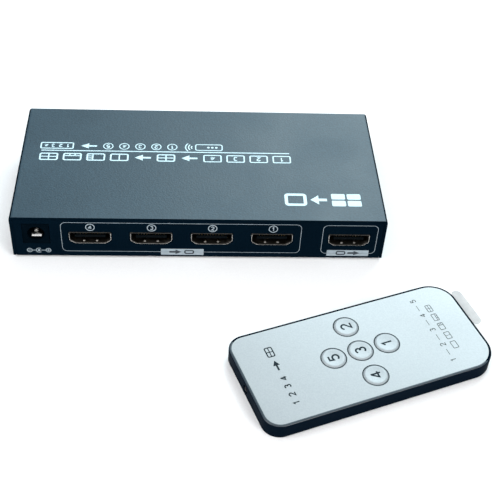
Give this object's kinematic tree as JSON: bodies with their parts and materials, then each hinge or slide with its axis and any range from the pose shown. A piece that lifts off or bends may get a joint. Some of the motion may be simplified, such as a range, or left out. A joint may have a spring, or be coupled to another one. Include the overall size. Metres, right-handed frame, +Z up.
{
  "type": "hdmi multiviewer",
  "caption": "Flat black sheet-metal video multiviewer box with a row of digital video sockets and a power inlet, and its slim silver-faced card remote control.",
  "frame": {"origin": "centre of the box's sheet-metal underside, 1 mm above what the feet stand on", "axes": "+X along the socket row with the power inlet at -X, +Y from the sockets to the control side, +Z up"},
  "size_m": [0.1625, 0.1442, 0.019],
  "materials": {
    "case_paint": "satin powder coat",
    "screw_steel": "black oxide",
    "foot_rubber": "matte",
    "board_laminate": "solder mask",
    "standoff_brass": "turned",
    "screw_zinc": "zinc plated",
    "socket_nickel": "nickel plated",
    "insulator_black": "moulded",
    "contact_gold": "gold plated",
    "jack_black": "moulded",
    "jack_nickel": "nickel plated",
    "button_black": "moulded",
    "switch_plastic": "moulded",
    "pipe_clear": "clear",
    "lamp_resin": "clear resin",
    "infrared_resin": "dark red",
    "chip_epoxy": "moulded epoxy",
    "pad_silicone": "soft silicone",
    "sink_aluminium": "extruded",
    "ferrite": "pressed ferrite",
    "capacitor_can": "bright can",
    "crystal_can": "bright can",
    "passive_body": "fired ceramic",
    "remote_plastic": "moulded",
    "remote_film": "satin silver film",
    "dome_steel": "spring steel",
    "cell_steel": "bright can",
    "tab_film": "clear film"
  },
  "bodies": {
    "box": {"top_cover": "case_paint", "base_tray": "case_paint", "port_panel": "case_paint", "control_panel": "case_paint", "cover_screws": "screw_steel", "rubber_feet": "foot_rubber", "main_board": "board_laminate", "board_standoffs": "standoff_brass", "board_screws": "screw_zinc", "power_jack_housing": "jack_black", "power_jack_pin": "jack_nickel", "power_jack_blade": "jack_nickel", "select_switch": "switch_plastic", "light_pipe_bar": "pipe_clear", "status_lamps": "lamp_resin", "infrared_receiver": "infrared_resin", "infrared_window": "infrared_resin", "video_processor": "chip_epoxy", "thermal_pad": "pad_silicone", "processor_heat_sink": "sink_aluminium", "memory_chips": "chip_epoxy", "equaliser_chips": "chip_epoxy", "control_chip": "chip_epoxy", "regulator_chips": "chip_epoxy", "power_inductors": "ferrite", "bulk_capacitors": "capacitor_can", "clock_crystal": "crystal_can", "board_passives": "passive_body", "input_1_shell": "socket_nickel", "input_1_insulator": "insulator_black", "input_1_contacts": "contact_gold", "input_2_shell": "socket_nickel", "input_2_insulator": "insulator_black", "input_2_contacts": "contact_gold", "input_3_shell": "socket_nickel", "input_3_insulator": "insulator_black", "input_3_contacts": "contact_gold", "input_4_shell": "socket_nickel", "input_4_insulator": "insulator_black", "input_4_contacts": "contact_gold", "output_shell": "socket_nickel", "output_insulator": "insulator_black", "output_contacts": "contact_gold"},
    "select_button": {"select_button": "button_black"},
    "remote": {"remote_lower_case": "remote_plastic", "remote_upper_case": "remote_plastic", "remote_face_film": "remote_film", "remote_key_domes": "dome_steel", "remote_card": "board_laminate", "remote_card_parts": "chip_epoxy", "infrared_emitter": "pipe_clear", "battery_contacts": "contact_gold"},
    "battery_drawer": {"battery_drawer": "remote_plastic", "coin_cell": "cell_steel"},
    "isolation_tab": {"isolation_tab": "tab_film"},
    "key_1": {"remote_key_1": "remote_film"},
    "key_2": {"remote_key_2": "remote_film"},
    "key_3": {"remote_key_3": "remote_film"},
    "key_4": {"remote_key_4": "remote_film"},
    "key_5": {"remote_key_5": "remote_film"}
  },
  "joints": [
    {"name": "select_press", "type": "slide", "parent": "box", "child": "select_button", "axis": [0, -1, 0], "range_m": [0, 0.0005], "stiffness_N_per_m": 2000},
    {"name": "remote_lift", "type": "slide", "parent": "box", "child": "remote", "axis": [0, 0, 1], "range_m": [0, 0.08]},
    {"name": "battery_drawer_slide", "type": "slide", "parent": "remote", "child": "battery_drawer", "axis": [0.9404, 0.3401, 0], "range_m": [0, 0.026]},
    {"name": "isolation_tab_pull", "type": "slide", "parent": "remote", "child": "isolation_tab", "axis": [0.9404, 0.3401, 0], "range_m": [0, 0.024]},
    {"name": "key_1_press", "type": "slide", "parent": "remote", "child": "key_1", "axis": [0, 0, -1], "range_m": [0, 0.00025], "stiffness_N_per_m": 2000, "deforming": ["remote_key_domes"]},
    {"name": "key_2_press", "type": "slide", "parent": "remote", "child": "key_2", "axis": [0, 0, -1], "range_m": [0, 0.00025], "stiffness_N_per_m": 2000, "deforming": ["remote_key_domes"]},
    {"name": "key_3_press", "type": "slide", "parent": "remote", "child": "key_3", "axis": [0, 0, -1], "range_m": [0, 0.00025], "stiffness_N_per_m": 2000, "deforming": ["remote_key_domes"]},
    {"name": "key_4_press", "type": "slide", "parent": "remote", "child": "key_4", "axis": [0, 0, -1], "range_m": [0, 0.00025], "stiffness_N_per_m": 2000, "deforming": ["remote_key_domes"]},
    {"name": "key_5_press", "type": "slide", "parent": "remote", "child": "key_5", "axis": [0, 0, -1], "range_m": [0, 0.00025], "stiffness_N_per_m": 2000, "deforming": ["remote_key_domes"]}
  ]
}
